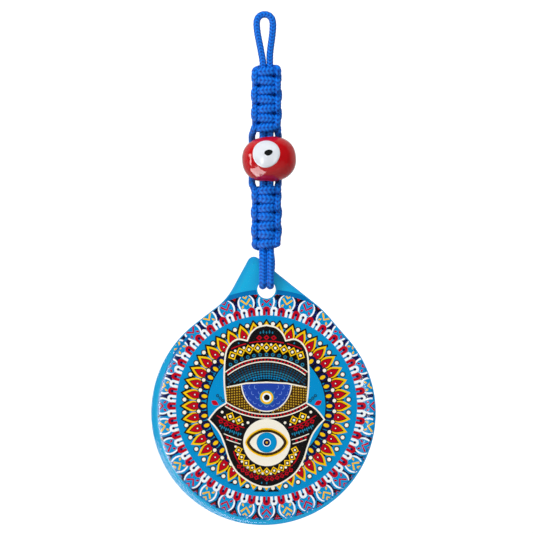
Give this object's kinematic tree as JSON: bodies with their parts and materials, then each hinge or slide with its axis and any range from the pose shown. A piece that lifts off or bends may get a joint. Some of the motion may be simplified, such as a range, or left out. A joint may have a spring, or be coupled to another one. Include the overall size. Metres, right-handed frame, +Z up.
{
  "type": "hanging ornament / hamsa hand amulet",
  "caption": "Hanging hand amulet: knotted blue cord with a loop, a red eye bead and a drop-shaped turquoise glass disc printed with a hand and petal rings",
  "frame": {"origin": "hook contact point, on the inside of the top of the hanging loop", "axes": "+Z up along the hanging line; +Y towards the back of the glass disc; +X right as seen from the front"},
  "size_m": [0.0866, 0.0246, 0.1998],
  "materials": {
    "blue_cord": "knitted nylon",
    "red_glass": "glossy",
    "white_glass": "glossy",
    "black_glass": "glossy",
    "turquoise_glass": "fused glass",
    "print": "printed film",
    "clear_glass": "polished"
  },
  "bodies": {
    "hanging_loop": {"hanging_loop": "blue_cord"},
    "upper_sennit": {"upper_front_cord": "blue_cord", "upper_back_cord": "blue_cord", "upper_left_core_cord": "blue_cord", "upper_right_core_cord": "blue_cord"},
    "bead_cords": {"bead_left_cord": "blue_cord", "bead_right_cord": "blue_cord", "bead_left_core_cord": "blue_cord", "bead_right_core_cord": "blue_cord"},
    "bead": {"bead_glass": "red_glass", "bead_eye": "white_glass", "bead_pupil": "black_glass"},
    "lower_sennit": {"lower_front_cord": "blue_cord", "lower_back_cord": "blue_cord", "lower_left_core_cord": "blue_cord", "lower_right_core_cord": "blue_cord", "left_tail_cord": "blue_cord", "right_tail_cord": "blue_cord"},
    "hanger_cords": {"left_hanger_cord": "blue_cord", "right_hanger_cord": "blue_cord"},
    "glass_disc": {"glass_body": "turquoise_glass", "printed_film": "print", "clear_cover": "clear_glass"}
  },
  "joints": [
    {"name": "neck_bend", "type": "hinge", "parent": "hanging_loop", "child": "upper_sennit", "pos_m": [0, 0, -0.0146], "axis": [1, 0, 0], "range_deg": [-60, 60]},
    {"name": "upper_bead_bend", "type": "hinge", "parent": "upper_sennit", "child": "bead_cords", "pos_m": [0, 0, -0.0451], "axis": [1, 0, 0], "range_deg": [-12, 12]},
    {"name": "bead_turn", "type": "hinge", "parent": "bead_cords", "child": "bead", "pos_m": [0, 0, -0.05458], "axis": [0, 0, 1], "continuous": true},
    {"name": "lower_bead_bend", "type": "hinge", "parent": "bead_cords", "child": "lower_sennit", "pos_m": [0, 0, -0.06405], "axis": [1, 0, 0], "range_deg": [-12, 12]},
    {"name": "disc_tilt", "type": "hinge", "parent": "lower_sennit", "child": "hanger_cords", "pos_m": [0, -0.00135, -0.09051], "axis": [1, 0, 0], "range_deg": [-30, 30]},
    {"name": "disc_swing", "type": "hinge", "parent": "hanger_cords", "child": "glass_disc", "pos_m": [0, 0, -0.10521], "axis": [0, 1, 0], "range_deg": [-30, 8]}
  ]
}
